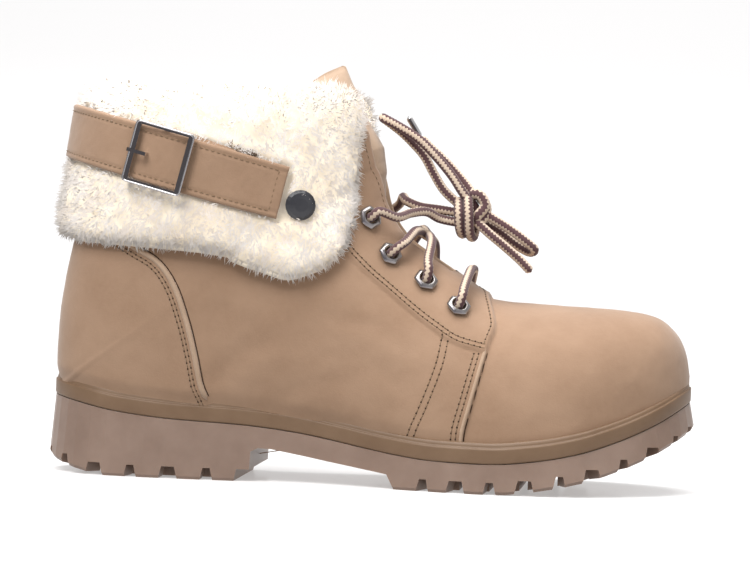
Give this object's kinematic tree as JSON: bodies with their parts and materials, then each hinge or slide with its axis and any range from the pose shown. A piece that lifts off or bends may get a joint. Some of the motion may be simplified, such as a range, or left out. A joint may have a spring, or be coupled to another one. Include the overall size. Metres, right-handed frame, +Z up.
{
  "type": "sheepskin boot",
  "caption": "Lace-up ankle boot with a folded fleece cuff, buckled cuff strap, front laces tied in a bow and a lugged rubber sole.",
  "frame": {"origin": "ground plane under the flat middle lug face of the heel, on the foot's middle line", "axes": "+X to the toe, +Y to the inner side of the foot, +Z up"},
  "size_m": [0.2753, 0.1055, 0.1771],
  "materials": {
    "rubber": "semi-gloss moulded",
    "rand": "satin moulded",
    "footbed": "soft pile",
    "nubuck": "matt nubuck",
    "nubuck_dark": "matt nubuck",
    "fleece": "deep fleece pile",
    "gunmetal": "dark polished plating",
    "black_metal": "satin black",
    "cord": "braided"
  },
  "bodies": {
    "root": {"outsole": "rubber", "welt": "rand", "insole": "footbed", "upper": "nubuck", "heel_counter": "nubuck_dark", "facing_lateral": "nubuck", "facing_medial": "nubuck", "tongue": "nubuck_dark", "fleece_cuff": "fleece", "cuff_strap": "nubuck_dark", "buckle_frame": "gunmetal", "buckle_prong": "gunmetal", "snap_lateral": "black_metal", "snap_medial": "black_metal", "eyelet_lateral_1": "gunmetal", "eyelet_lateral_2": "gunmetal", "eyelet_lateral_3": "gunmetal", "eyelet_lateral_4": "gunmetal", "eyelet_medial_1": "gunmetal", "eyelet_medial_2": "gunmetal", "eyelet_medial_3": "gunmetal", "eyelet_medial_4": "gunmetal", "lace_bar_low": "cord", "lace_cross": "cord", "lace_lead_lateral": "cord", "lace_lead_medial": "cord", "lace_knot": "cord", "lace_loop_up": "cord", "lace_loop_down": "cord", "lace_end_up": "cord", "lace_end_down": "cord", "lace_aglet": "gunmetal"}
  },
  "joints": []
}
